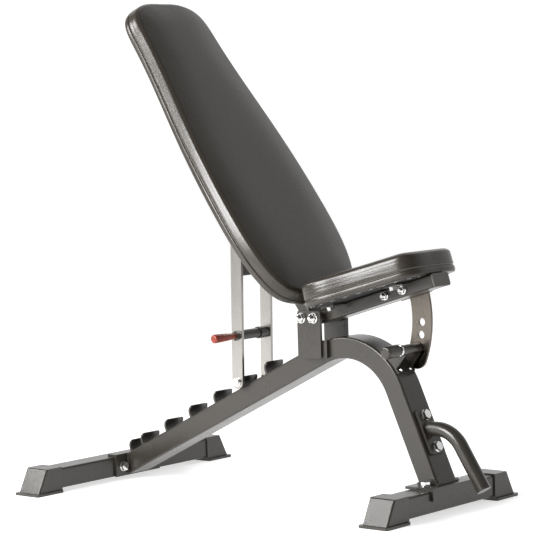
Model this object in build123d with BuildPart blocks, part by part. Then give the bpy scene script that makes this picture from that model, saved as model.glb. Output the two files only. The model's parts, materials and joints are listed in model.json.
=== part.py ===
from build123d import *
from math import atan2, cos, degrees, hypot, radians, sin, tan
import os

os.makedirs("parts", exist_ok=True)

# Adjustable weight bench, millimetres and degrees.
# +Z is up, +X runs from the head end to the seat end and +Y to the left of a person lying on it.
# The origin is on the floor, midway between the rearmost point (the rim of the rear feet) and the
# frontmost point (the tip of the carry handle).

# ---------------------------------------------------------------- driving dimensions

# floor frame
base_pitch = 782.0            # rear base tube to front base tube
rear_span = 574.0             # over the rims of the rear feet
front_span = 413.0            # over the rims of the front feet
base_width = 50.0             # base tube, along X
base_height = 40.0            # base tube, along Z
base_lift = 7.5               # underside of the base tubes above the floor
base_wall = 2.0
tube_corner = 4.0             # outside corner radius of every rectangular tube

# end caps of the base tubes
cap_wall = 2.8
cap_length = 72.0             # along the tube, at the floor
cap_slant = 26.0              # how far the end face leans in by its top
cap_rim = 4.5                 # how far the rim stands out round the foot
cap_rim_height = 5.0
cap_corner = 4.0

# main tube: rail, arch and front leg in one bent piece
frame_width = 60.0            # along Y
frame_depth = 40.0            # in the plane of the bend
frame_wall = 2.5
rail_angle = 26.0             # rail above the horizontal
leg_angle = 66.5              # front leg above the horizontal
frame_bend = 120.0            # radius of the arch on the tube's centreline
leg_setback = 5.3             # foot of the leg behind the middle of the front base

# plates that join the main tube to the bases
joint_plate = 5.0
joint_plate_length = 128.0    # along Y
saddle_flange = 18.0
saddle_overhang = 7.0         # behind the front base
joint_bolt_offset = 45.0      # from the middle, along Y

# ladder
catch_count = 7
catch_width = 52.0
catch_height = 23.5
catch_bulge = 4.0
catch_plate = 4.0
catch_corner = 7.0
first_catch = 35.0            # from the middle of the rear base
second_catch_gap = 32.0
last_catch_gap = 105.0        # from the last catch to the backrest pivot
catch_in_use = 6

# hinge plates
hinge_spread = 80.0           # between the middles of the two plates, along Y
hinge_plate = 5.0
hinge_plate_width = 55.0
hinge_plate_height = 89.0
seat_pivot_back = 62.0        # seat pivot behind the top of the arch
seat_pivot_rise = 34.0        # seat pivot above the top of the arch
pivot_gap = 29.0              # backrest pivot behind the seat pivot
pivot_edge = 13.0             # pivots below the top of the hinge plates
pivot_bolt = 10.0
sleeve_diameter = 25.0
sleeve_side_gap = 0.3

# fits
running_gap = 0.05            # radial, a bolt in a sleeve that turns
bolt_gap = 0.15               # radial, a bolt in a plate
slip_gap = 0.15               # per side, a cap or plug over or in a tube

# backrest
back_angle = 54.9             # above the horizontal, as it stands
carrier_width = 50.0          # tube under each pad, along Y
carrier_depth = 25.0
carrier_wall = 2.0
back_tube_length = 600.0
back_pad_length = 690.0
back_pad_width = 291.0
back_pad_start = 21.0         # lower end of the pad above the backrest pivot
back_pad_thickness = 40.0
seat_pad_thickness = 48.0
board_thickness = 12.0
board_inset = 5.0
prop_pivot_up = 232.0         # prop pivot from the backrest pivot, along the backrest
prop_sleeve_diameter = 24.0

# prop
prop_spread = 86.0            # between the middles of the two bars, along Y
prop_bar_width = 26.0
prop_bar = 6.0
prop_pin = 12.0
notch_ahead = 11.0            # catch pin in front of the foot of its catch
notch_rise = 10.0             # catch pin above the rail
grip_bar_up = 90.0            # grip bar above the catch pin, along the prop
grip_bar = 19.0
upper_plate_up = 217.0        # upper cross plate above the catch pin
upper_plate_height = 26.0
grip_length = 62.0
grip_diameter = 17.0
grip_neck = 10.0

# seat
seat_angle = 16.25            # front of the seat up
seat_tube_length = 270.0
seat_pad_start = 38.0         # rear of the pad ahead of the seat pivot
seat_pad_length = 231.0
seat_pad_width = 250.0
adjuster_plate = 5.0
adjuster_inner = 172.0        # radii of the curved plate about the seat pivot
adjuster_outer = 215.0
adjuster_side = 33.0          # inner face of the plate from the middle plane
adjuster_hole = 14.6
adjuster_hole_radius = 193.5
adjuster_hole_pitch = 7.0     # degrees between holes
pin_hole_angle = -16.0        # the hole in use, below the horizontal
adjuster_tail = 6.0           # degrees of plate below the last hole
adjuster_bolts = (161.0, 203.0)

# pads' fixing tabs
tab_plate = 4.0
tab_length = 30.0
tab_reach = 64.0              # from the middle plane
tab_bolt_offset = 54.0
seat_tabs_at = (55.0, 205.0)
back_tabs_at = (90.0, 430.0)

# pop-pin
housing_diameter = 18.0
housing_length = 59.0
pull_pin = 12.0
pin_stem = 7.0
pin_travel = 12.0
knob_diameter = 24.0
knob_length = 38.0
plate_clearance = 0.5         # between the pin's nose and the curved plate

# carry handle
handle_diameter = 27.0
handle_wall = 2.0
handle_bend = 58.0
handle_slope = 57.8           # of its lower run, below the horizontal
handle_reach = 107.4          # tip of the handle ahead of the front base
handle_tip_height = 46.0
handle_plate_length = 86.0
handle_plate_width = 42.0
handle_plate_low = 56.0       # lower end of its plate above the foot of the leg
handle_bolt_edge = 12.0
handle_root = 46.0            # handle's middle above the plate's lower end
plug_thickness = 3.0

# ---------------------------------------------------------------- places worked out from them

rear_x = (base_width / 2 + cap_wall + cap_rim - base_pitch - handle_reach) / 2
front_x = rear_x + base_pitch
base_top = base_lift + base_height
plate_top = base_top + joint_plate

# the main tube's centreline: rail line, leg line and where they cross
rail_slope = tan(radians(rail_angle))
leg_slope = tan(radians(leg_angle))
rail_start_x = rear_x + base_width / 2 + joint_plate
rail_half_drop = frame_depth / 2 / cos(radians(rail_angle))
rail_start_z = plate_top + 0.5 - rail_half_drop
leg_foot_x = front_x - leg_setback
leg_foot_z = plate_top
corner_x = (leg_foot_z + leg_slope * leg_foot_x - rail_start_z + rail_slope * rail_start_x) / (
    rail_slope + leg_slope
)
corner_z = rail_start_z + rail_slope * (corner_x - rail_start_x)
bend_turn = radians(rail_angle + leg_angle)
bend_reach = frame_bend / cos(bend_turn / 2)
bend_lean = radians((leg_angle - rail_angle) / 2)
arch_x = corner_x - bend_reach * sin(bend_lean)
arch_z = corner_z - bend_reach * cos(bend_lean)
arch_radius = frame_bend + frame_depth / 2


def rail_top(x):
    """Height of the rail's upper face at a place along X."""
    return rail_start_z + rail_half_drop + rail_slope * (x - rail_start_x)


# pivots
seat_pivot = (arch_x - seat_pivot_back, arch_z + arch_radius + seat_pivot_rise)
back_pivot = (seat_pivot[0] - pivot_gap, seat_pivot[1] - 1.0)
back_cos = cos(radians(back_angle))
back_sin = sin(radians(back_angle))
prop_drop = carrier_depth / 2 + prop_sleeve_diameter / 2
prop_pivot = (
    back_pivot[0] - prop_pivot_up * back_cos - prop_drop * back_sin,
    back_pivot[1] + prop_pivot_up * back_sin - prop_drop * back_cos,
)

# catches: the first two by the rear base, the rest evenly up to the last one below the hinge
catch_second = rear_x + first_catch + second_catch_gap
catch_last = back_pivot[0] - last_catch_gap
catch_pitch = (catch_last - catch_second) / (catch_count - 2)
catch_places = [rear_x + first_catch] + [
    catch_second + catch_pitch * step for step in range(catch_count - 1)
]
catch_pin = (
    catch_places[catch_in_use - 1] + notch_ahead,
    rail_top(catch_places[catch_in_use - 1] + notch_ahead) + notch_rise,
)
prop_length = hypot(prop_pivot[0] - catch_pin[0], prop_pivot[1] - catch_pin[1])
prop_lean = degrees(atan2(prop_pivot[1] - catch_pin[1], prop_pivot[0] - catch_pin[0]))

# the pop-pin's axis is the middle of the hole in use
pin_axis = (
    seat_pivot[0] + adjuster_hole_radius * cos(radians(pin_hole_angle)),
    seat_pivot[1] + adjuster_hole_radius * sin(radians(pin_hole_angle)),
)

# ---------------------------------------------------------------- planes

side = Plane.XZ               # local x is X, local y is Z, extrusions run towards -Y
seat_plane = Plane(
    origin=(seat_pivot[0], 0, seat_pivot[1]),
    x_dir=(cos(radians(seat_angle)), 0, sin(radians(seat_angle))),
    z_dir=(-sin(radians(seat_angle)), 0, cos(radians(seat_angle))),
)
seat_side = Plane(origin=seat_plane.origin, x_dir=seat_plane.x_dir, z_dir=(0, -1, 0))
back_plane = Plane(
    origin=(back_pivot[0], 0, back_pivot[1]),
    x_dir=(-back_cos, 0, back_sin),
    z_dir=(back_sin, 0, back_cos),
)
back_side = Plane(origin=back_plane.origin, x_dir=back_plane.x_dir, z_dir=(0, 1, 0))
prop_side = Plane(
    origin=(catch_pin[0], 0, catch_pin[1]),
    x_dir=(cos(radians(prop_lean)), 0, sin(radians(prop_lean))),
    z_dir=(0, -1, 0),
)
leg_run = (cos(radians(leg_angle)), 0, -sin(radians(leg_angle)))
leg_face = Plane(
    origin=(
        leg_foot_x + frame_depth / 2 / sin(radians(leg_angle)),
        0,
        leg_foot_z,
    ),
    x_dir=(-leg_run[0], 0, -leg_run[2]),
    z_dir=(sin(radians(leg_angle)), 0, cos(radians(leg_angle))),
)

# ---------------------------------------------------------------- helpers


def finish(builder, name):
    """Label a finished piece and write it."""
    builder.part.label = name
    export_step(builder.part, f"parts/{name}.step")


def ring_across(plane, x, y, outer, inner, near, far):
    """A ring or rod whose axis is the plane's normal, from one offset to another."""
    with BuildPart() as ring:
        with BuildSketch(plane.offset(near)):
            with Locations((x, y)):
                Circle(outer / 2)
                if inner > 0:
                    Circle(inner / 2, mode=Mode.SUBTRACT)
        extrude(amount=far - near)
    return ring.part


def bolt_across(plane, x, y, shank, nut_face, head_face, dome_nut=True):
    """A hex bolt along the plane's normal, with washers, a head and a dome nut or a bare end."""
    outwards = 1 if head_face > nut_face else -1
    washer = 1.6 * outwards
    washer_diameter = shank * 2.0
    hex_radius = shank * 0.92
    head_height = shank * 0.62 * outwards
    with BuildPart() as bolt:
        with BuildSketch(plane.offset(nut_face - washer)):
            with Locations((x, y)):
                Circle(shank / 2)
        extrude(amount=head_face - nut_face + 2 * washer)
        with BuildSketch(plane.offset(head_face)):
            with Locations((x, y)):
                Circle(washer_diameter / 2)
        extrude(amount=washer)
        with BuildSketch(plane.offset(head_face + washer)):
            with Locations((x, y)):
                RegularPolygon(hex_radius, 6)
        extrude(amount=head_height)
        if dome_nut:
            with BuildSketch(plane.offset(nut_face)):
                with Locations((x, y)):
                    Circle(washer_diameter / 2)
            extrude(amount=-washer)
            with BuildSketch(plane.offset(nut_face - washer)):
                with Locations((x, y)):
                    RegularPolygon(hex_radius, 6)
            extrude(amount=-head_height)
            with BuildSketch(plane.offset(nut_face - washer - head_height)):
                with Locations((x, y)):
                    Circle(hex_radius * 0.8)
            extrude(amount=-head_height, taper=32)
    return bolt.part


def tube_section(width, height, wall):
    """Rounded rectangle with its inside cut out, drawn in the open sketch."""
    RectangleRounded(width, height, tube_corner)
    inner_corner = max(tube_corner - wall, 0.5)
    RectangleRounded(width - 2 * wall, height - 2 * wall, inner_corner, mode=Mode.SUBTRACT)


def pad_points(start, length, half_width, shape, inset=0.0):
    """Points round a pad from (share of length, share of half width) pairs down one side."""
    one_side = [
        (start + inset + (length - 2 * inset) * along, (half_width - inset) * across)
        for along, across in shape
    ]
    other_side = [(along, -across) for along, across in reversed(one_side[1:-1])]
    return one_side + other_side


# ---------------------------------------------------------------- floor frame

for name, place_x, span in (("rear", rear_x, rear_span), ("front", front_x, front_span)):
    tube_end = span / 2 - cap_rim - cap_slant - 6.0
    with BuildPart() as base_tube:
        with BuildSketch(Plane.XZ.offset(-tube_end)):
            with Locations((place_x, base_lift + base_height / 2)):
                tube_section(base_width, base_height, base_wall)
        extrude(amount=2 * tube_end)
        if name == "rear":
            with BuildSketch(Plane.YZ.offset(place_x)):
                with Locations((-joint_bolt_offset, base_lift + base_height / 2)):
                    Circle(pivot_bolt / 2 + bolt_gap)
                with Locations((joint_bolt_offset, base_lift + base_height / 2)):
                    Circle(pivot_bolt / 2 + bolt_gap)
            extrude(amount=base_width, mode=Mode.SUBTRACT)
        else:
            with BuildSketch(Plane.XY.offset(base_top - base_wall - 1)):
                with Locations((place_x, -joint_bolt_offset), (place_x, joint_bolt_offset)):
                    Circle(pivot_bolt / 2 + bolt_gap)
            extrude(amount=base_wall + 2, mode=Mode.SUBTRACT)
    finish(base_tube, f"{name}_base_tube")

    # a slanted plastic foot over each end, with a rim at the floor
    cap_top = base_top + cap_wall
    cap_half = base_width / 2 + cap_wall
    for hand, label in ((-1, "right"), (1, "left")):
        end_face = span / 2 - cap_rim
        inner_edge = span / 2 - cap_length
        with BuildPart() as foot:
            with BuildSketch(Plane.YZ.offset(place_x)):
                with BuildLine():
                    Polyline(
                        (hand * inner_edge, 0),
                        (hand * end_face, 0),
                        (hand * (end_face - cap_slant), cap_top),
                        (hand * inner_edge, cap_top),
                        close=True,
                    )
                make_face()
            extrude(amount=cap_half, both=True)
            outer_edges = foot.faces().sort_by(Axis.Y)[-1 if hand > 0 else 0].edges()
            fillet(outer_edges.group_by(Axis.Z)[1:], cap_corner)
            with BuildSketch(Plane.XY):
                with Locations((place_x, hand * (span / 2 - cap_length / 2))):
                    RectangleRounded(2 * (cap_half + cap_rim), cap_length, cap_rim)
            extrude(amount=cap_rim_height)
            with BuildSketch(Plane.XZ.offset(-hand * (inner_edge - 1))):
                with Locations((place_x, base_lift + base_height / 2)):
                    RectangleRounded(
                        base_width + 2 * slip_gap, base_height + 2 * slip_gap, tube_corner
                    )
            extrude(amount=-hand * (tube_end - inner_edge + 2), mode=Mode.SUBTRACT)
        finish(foot, f"{name}_foot_{label}")

# ---------------------------------------------------------------- main tube

with BuildPart() as main_tube:
    with BuildLine(Plane.XZ) as frame_path:
        FilletPolyline(
            (rail_start_x - 30, rail_start_z - 30 * rail_slope),
            (corner_x, corner_z),
            (leg_foot_x + 30 / leg_slope, leg_foot_z - 30),
            radius=frame_bend,
        )
    with BuildSketch(Plane(origin=frame_path.line @ 0, x_dir=(0, 1, 0), z_dir=frame_path.line % 0)):
        tube_section(frame_width, frame_depth, frame_wall)
    sweep(path=frame_path.line)
    split(bisect_by=Plane.YZ.offset(rail_start_x), keep=Keep.TOP)
    # the leg is cut level where it stands on the saddle
    with BuildSketch(Plane.XY.offset(leg_foot_z)):
        with Locations((leg_foot_x, 0)):
            Rectangle(4 * frame_depth, 2 * frame_width)
    extrude(amount=-2 * frame_depth, mode=Mode.SUBTRACT)
    # threaded seats for the handle's bolts in the front wall of the leg
    with BuildSketch(leg_face.offset(-frame_wall - 2)):
        for along in (handle_bolt_edge, handle_plate_length - handle_bolt_edge):
            with Locations((handle_plate_low + along, 0)):
                Circle(pivot_bolt / 2 + bolt_gap)
    extrude(amount=frame_wall + 4, mode=Mode.SUBTRACT)
finish(main_tube, "main_tube")

# end plate on the rear base: an angle that the rail is welded to
with BuildPart() as end_plate:
    with BuildSketch(side.offset(-joint_plate_length / 2)):
        with BuildLine():
            Polyline(
                (rear_x + base_width / 2, base_lift),
                (rear_x + base_width / 2 + joint_plate, base_lift),
                (rear_x + base_width / 2 + joint_plate, plate_top),
                (rear_x + base_width / 2 - saddle_flange, plate_top),
                (rear_x + base_width / 2 - saddle_flange, base_top),
                (rear_x + base_width / 2, base_top),
                close=True,
            )
        make_face()
    extrude(amount=joint_plate_length)
    with BuildSketch(Plane.YZ.offset(rear_x + base_width / 2 - 1)):
        with Locations(
            (-joint_bolt_offset, base_lift + base_height / 2),
            (joint_bolt_offset, base_lift + base_height / 2),
        ):
            Circle(pivot_bolt / 2 + bolt_gap)
    extrude(amount=joint_plate + 2, mode=Mode.SUBTRACT)
finish(end_plate, "rear_end_plate")

with BuildPart() as end_bolts:
    for offset_y in (-joint_bolt_offset, joint_bolt_offset):
        add(
            bolt_across(
                Plane.YZ,
                offset_y,
                base_lift + base_height / 2,
                pivot_bolt,
                rear_x + base_width / 2 - base_wall + 2 * 0.8,
                rear_x + base_width / 2 + joint_plate,
                dome_nut=False,
            )
        )
finish(end_bolts, "rear_end_bolts")

# saddle on the front base: top plate with a lip down the front
with BuildPart() as saddle:
    with BuildSketch(side.offset(-joint_plate_length / 2)):
        with BuildLine():
            Polyline(
                (front_x - base_width / 2 - saddle_overhang, base_top),
                (front_x + base_width / 2, base_top),
                (front_x + base_width / 2, base_top - saddle_flange),
                (front_x + base_width / 2 + joint_plate, base_top - saddle_flange),
                (front_x + base_width / 2 + joint_plate, plate_top),
                (front_x - base_width / 2 - saddle_overhang, plate_top),
                close=True,
            )
        make_face()
    extrude(amount=joint_plate_length)
    with BuildSketch(Plane.XY.offset(base_top - 1)):
        with Locations((front_x, -joint_bolt_offset), (front_x, joint_bolt_offset)):
            Circle(pivot_bolt / 2 + bolt_gap)
    extrude(amount=joint_plate + 2, mode=Mode.SUBTRACT)
finish(saddle, "front_saddle_plate")

with BuildPart() as saddle_bolts:
    for offset_y in (-joint_bolt_offset, joint_bolt_offset):
        add(
            bolt_across(
                Plane.XY, front_x, offset_y, pivot_bolt, base_top - base_wall + 2 * 0.8, plate_top,
                dome_nut=False,
            )
        )
finish(saddle_bolts, "front_saddle_bolts")

# ---------------------------------------------------------------- ladder catches

for number, catch_x in enumerate(catch_places, start=1):
    foot_back = (catch_x, rail_top(catch_x))
    foot_front = (catch_x + catch_plate, rail_top(catch_x + catch_plate))
    head_z = rail_top(catch_x) + catch_height
    middle_z = rail_top(catch_x) + catch_height / 2
    with BuildPart() as catch:
        with BuildSketch(side):
            with BuildLine():
                ThreePointArc(foot_back, (catch_x - catch_bulge, middle_z), (catch_x, head_z))
                Line((catch_x, head_z), (catch_x + catch_plate, head_z))
                ThreePointArc(
                    (catch_x + catch_plate, head_z),
                    (catch_x - catch_bulge + catch_plate, middle_z),
                    foot_front,
                )
                Line(foot_front, foot_back)
            make_face()
        extrude(amount=catch_width / 2, both=True)
        fillet(catch.edges().filter_by(Axis.X).group_by(Axis.Z)[-1], catch_corner)
    finish(catch, f"ladder_catch_{number}")

# ---------------------------------------------------------------- hinge plates and pivots

hinge_left_x = back_pivot[0] - 10.5
hinge_top = seat_pivot[1] + pivot_edge
plate_inner = hinge_spread / 2 - hinge_plate / 2
plate_outer = hinge_spread / 2 + hinge_plate / 2
for label, near in (("right", -plate_outer), ("left", plate_inner)):
    with BuildPart() as hinge:
        with BuildSketch(side.offset(-near - hinge_plate)):
            with Locations((hinge_left_x + hinge_plate_width / 2, hinge_top - hinge_plate_height / 2)):
                RectangleRounded(hinge_plate_width, hinge_plate_height, 6.0)
            with Locations(seat_pivot, back_pivot):
                Circle(pivot_bolt / 2 + bolt_gap, mode=Mode.SUBTRACT)
        extrude(amount=hinge_plate)
    finish(hinge, f"hinge_plate_{label}")

# packers that stand the hinge plates off the sides of the arch
packer_top = arch_z + arch_radius - 8.0
packer_low = hinge_top - hinge_plate_height + 2.0
with BuildPart() as packers:
    for near in (-plate_inner, frame_width / 2):
        with BuildSketch(side.offset(-near - (plate_inner - frame_width / 2))):
            with BuildLine():
                Polyline(
                    (hinge_left_x + 12, packer_low),
                    (hinge_left_x + hinge_plate_width + 10, packer_low),
                    (hinge_left_x + hinge_plate_width + 10, packer_top),
                    (hinge_left_x + hinge_plate_width - 8, packer_top),
                    (hinge_left_x + 12, rail_top(hinge_left_x + 12) - 2),
                    close=True,
                )
            make_face()
        extrude(amount=plate_inner - frame_width / 2)
finish(packers, "hinge_packers")

for name, place in (("backrest", back_pivot), ("seat", seat_pivot)):
    with BuildPart() as pivot:
        add(bolt_across(side, place[0], place[1], pivot_bolt, plate_outer, -plate_outer))
    finish(pivot, f"{name}_pivot_bolt")

# ---------------------------------------------------------------- pop-pin

bracket_skin = 3.5
bracket_cheek = 5.0
screw_turn = 8.6              # degrees round the arch from the pop-pin
screw_offset = 14.0
housing_far = adjuster_side - 2.0
housing_near = housing_far - housing_length
pin_polar = atan2(pin_axis[1] - arch_z, pin_axis[0] - arch_x)


def arch_point(radius, turn):
    """Point on a circle about the arch's centre, a turn in degrees away from the pop-pin."""
    angle = pin_polar + radians(turn)
    return (arch_x + radius * cos(angle), arch_z + radius * sin(angle))


with BuildPart() as bracket:
    with BuildSketch(side):
        with BuildLine():
            skin_foot = arch_point(arch_radius, -11)
            skin_head = arch_point(arch_radius, 11)
            outer_foot = arch_point(arch_radius + bracket_skin, -11)
            outer_head = arch_point(arch_radius + bracket_skin, 11)
            ThreePointArc(skin_foot, arch_point(arch_radius, 0), skin_head)
            Line(skin_head, outer_head)
            ThreePointArc(outer_head, arch_point(arch_radius + bracket_skin, 0), outer_foot)
            Line(outer_foot, skin_foot)
        make_face()
    extrude(amount=frame_width / 2 - tube_corner, both=True)
    for cheek_y in (-frame_width / 2 + tube_corner + bracket_cheek, frame_width / 2 - tube_corner):
        with BuildSketch(side.offset(-cheek_y)):
            with BuildLine():
                Polyline(
                    arch_point(arch_radius + 2, -7),
                    arch_point(hypot(pin_axis[0] - arch_x, pin_axis[1] - arch_z), -4.2),
                    arch_point(hypot(pin_axis[0] - arch_x, pin_axis[1] - arch_z), 4.2),
                    arch_point(arch_radius + 2, 7),
                    close=True,
                )
            make_face()
            with Locations(pin_axis):
                Circle(housing_diameter / 2, mode=Mode.SUBTRACT)
        extrude(amount=bracket_cheek)
    for turn in (-screw_turn, screw_turn):
        for screw_y in (-screw_offset, screw_offset):
            hole_axis = Plane(
                origin=(arch_point(arch_radius, turn)[0], screw_y, arch_point(arch_radius, turn)[1]),
                z_dir=(cos(pin_polar + radians(turn)), 0, sin(pin_polar + radians(turn))),
            )
            with BuildSketch(hole_axis):
                Circle(2.0 + bolt_gap)
            extrude(amount=bracket_skin + 1, both=True, mode=Mode.SUBTRACT)
finish(bracket, "pin_bracket")

with BuildPart() as bracket_screws:
    for turn in (-screw_turn, screw_turn):
        for screw_y in (-screw_offset, screw_offset):
            foot_point = arch_point(arch_radius + 0.3, turn)
            screw_axis = Plane(
                origin=(foot_point[0], screw_y, foot_point[1]),
                z_dir=(cos(pin_polar + radians(turn)), 0, sin(pin_polar + radians(turn))),
            )
            with BuildSketch(screw_axis):
                Circle(2.0)
            extrude(amount=bracket_skin)
            with BuildSketch(screw_axis.offset(bracket_skin + 0.2)):
                Circle(4.0)
            extrude(amount=2.4, taper=18)
finish(bracket_screws, "pin_bracket_screws")

chamber = pull_pin + 3.0
chamber_near = housing_near + 6.0
chamber_far = housing_far - 8.0
with BuildPart() as housing:
    with BuildSketch(side.offset(-housing_far)):
        with Locations(pin_axis):
            Circle(housing_diameter / 2)
            Circle(pull_pin / 2 + running_gap, mode=Mode.SUBTRACT)
    extrude(amount=housing_far - chamber_far)
    with BuildSketch(side.offset(-chamber_far)):
        with Locations(pin_axis):
            Circle(housing_diameter / 2)
            Circle(chamber / 2, mode=Mode.SUBTRACT)
    extrude(amount=chamber_far - chamber_near)
    with BuildSketch(side.offset(-chamber_near)):
        with Locations(pin_axis):
            Circle(housing_diameter / 2)
            Circle(pin_stem / 2 + running_gap, mode=Mode.SUBTRACT)
    extrude(amount=chamber_near - housing_near)
finish(housing, "pin_housing")

collar_thickness = 3.5
with BuildPart() as collar:
    with BuildSketch(side.offset(-housing_near)):
        with Locations(pin_axis):
            Circle(housing_diameter / 2 + 2.5)
            Circle(pin_stem / 2 + 0.6, mode=Mode.SUBTRACT)
    extrude(amount=collar_thickness)
    fillet(collar.faces().sort_by(Axis.Y)[0].edges().sort_by(SortBy.LENGTH)[-1], 1.4)
finish(collar, "pin_collar")

nose_far = adjuster_side - plate_clearance
nose_near = chamber_near + 17.0
knob_far = housing_near - collar_thickness - 2.5
knob_near = knob_far - knob_length
with BuildPart() as pin:
    with BuildSketch(side.offset(-nose_far)):
        with Locations(pin_axis):
            Circle(pull_pin / 2)
    extrude(amount=nose_far - nose_near)
    chamfer(pin.faces().sort_by(Axis.Y)[-1].edges(), 1.5)
    with BuildSketch(side.offset(-nose_near)):
        with Locations(pin_axis):
            Circle(pin_stem / 2)
    extrude(amount=nose_near - knob_near - 8.0)
finish(pin, "pull_pin")

with BuildPart() as knob:
    with BuildSketch(side.offset(-knob_far)):
        with Locations(pin_axis):
            Circle(knob_diameter / 2)
    extrude(amount=knob_length)
    fillet(knob.faces().sort_by(Axis.Y)[0].edges(), 5.0)
    fillet(knob.faces().sort_by(Axis.Y)[-1].edges(), 3.0)
    with BuildSketch(side.offset(-knob_far)):
        with Locations(pin_axis):
            Circle(pin_stem / 2)
    extrude(amount=knob_length - 8.0, mode=Mode.SUBTRACT)
finish(knob, "pull_knob")

# ---------------------------------------------------------------- carry handle

with BuildPart() as handle_plate:
    with BuildSketch(leg_face):
        with Locations((handle_plate_low + handle_plate_length / 2, 0)):
            RectangleRounded(handle_plate_length, handle_plate_width, 5.0)
        for along in (handle_bolt_edge, handle_plate_length - handle_bolt_edge):
            with Locations((handle_plate_low + along, 0)):
                Circle(pivot_bolt / 2 + bolt_gap, mode=Mode.SUBTRACT)
    extrude(amount=joint_plate)
finish(handle_plate, "handle_plate")

with BuildPart() as handle_bolts:
    for along in (handle_bolt_edge, handle_plate_length - handle_bolt_edge):
        add(
            bolt_across(
                leg_face,
                handle_plate_low + along,
                0,
                pivot_bolt,
                -frame_wall + 2 * 0.8,
                joint_plate,
                dome_nut=False,
            )
        )
finish(handle_bolts, "handle_bolts")

slope_cos = cos(radians(handle_slope))
slope_sin = sin(radians(handle_slope))
handle_radius = handle_diameter / 2
tip_x = front_x + handle_reach - handle_radius * slope_sin
tip_z = handle_tip_height
root_point = leg_face.from_local_coords((handle_plate_low + handle_root, 0, 0))
level_z = root_point.Z + 4.0
elbow_x = tip_x - (level_z - tip_z) * slope_cos / slope_sin
tube_end_x = tip_x - plug_thickness * slope_cos
tube_end_z = tip_z + plug_thickness * slope_sin
with BuildPart() as handle:
    with BuildLine(Plane.XZ) as handle_path:
        FilletPolyline(
            (root_point.X - 25, level_z),
            (elbow_x, level_z),
            (tube_end_x, tube_end_z),
            radius=handle_bend,
        )
    with BuildSketch(Plane(origin=handle_path.line @ 0, z_dir=handle_path.line % 0)):
        Circle(handle_radius)
        Circle(handle_radius - handle_wall, mode=Mode.SUBTRACT)
    sweep(path=handle_path.line)
    split(bisect_by=leg_face.offset(joint_plate), keep=Keep.TOP)
finish(handle, "carry_handle")

with BuildPart() as plug:
    with BuildSketch(
        Plane(origin=(tube_end_x, 0, tube_end_z), z_dir=(slope_cos, 0, -slope_sin))
    ):
        Circle(handle_radius)
    extrude(amount=plug_thickness)
    with BuildSketch(
        Plane(origin=(tube_end_x, 0, tube_end_z), z_dir=(slope_cos, 0, -slope_sin))
    ):
        Circle(handle_radius - handle_wall - slip_gap)
    extrude(amount=-12.0)
finish(plug, "handle_plug")

# ---------------------------------------------------------------- backrest

sleeve_half = plate_inner - sleeve_side_gap
with BuildPart() as back_tube:
    with BuildSketch(Plane(origin=back_plane.origin, x_dir=(0, 1, 0), z_dir=back_plane.x_dir)):
        tube_section(carrier_width, carrier_depth, carrier_wall)
    extrude(amount=back_tube_length)
    with BuildSketch(back_side):
        Circle(sleeve_diameter / 2)
    extrude(amount=carrier_width, both=True, mode=Mode.SUBTRACT)
finish(back_tube, "backrest_tube")

with BuildPart() as back_sleeve:
    add(
        ring_across(
            back_side, 0, 0, sleeve_diameter, pivot_bolt + 2 * running_gap, -sleeve_half, sleeve_half
        )
    )
finish(back_sleeve, "backrest_pivot_sleeve")

prop_inner = prop_spread / 2 - prop_bar / 2
prop_outer = prop_spread / 2 + prop_bar / 2
with BuildPart() as prop_sleeve:
    add(
        ring_across(
            back_side,
            prop_pivot_up,
            -prop_drop,
            prop_sleeve_diameter,
            pivot_bolt + 2 * running_gap,
            -prop_inner + sleeve_side_gap,
            prop_inner - sleeve_side_gap,
        )
    )
finish(prop_sleeve, "prop_pivot_sleeve")

plug_depth = 14.0
with BuildPart() as back_cap:
    with BuildSketch(
        Plane(origin=back_plane.origin, x_dir=(0, 1, 0), z_dir=back_plane.x_dir).offset(
            back_tube_length
        )
    ):
        RectangleRounded(carrier_width, carrier_depth, tube_corner)
    extrude(amount=4.0)
    fillet(back_cap.faces().sort_by(Axis.Z)[-1].edges(), 1.5)
    with BuildSketch(
        Plane(origin=back_plane.origin, x_dir=(0, 1, 0), z_dir=back_plane.x_dir).offset(
            back_tube_length
        )
    ):
        RectangleRounded(
            carrier_width - 2 * (carrier_wall + slip_gap),
            carrier_depth - 2 * (carrier_wall + slip_gap),
            tube_corner - carrier_wall,
        )
    extrude(amount=-plug_depth)
finish(back_cap, "backrest_tube_cap")

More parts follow.
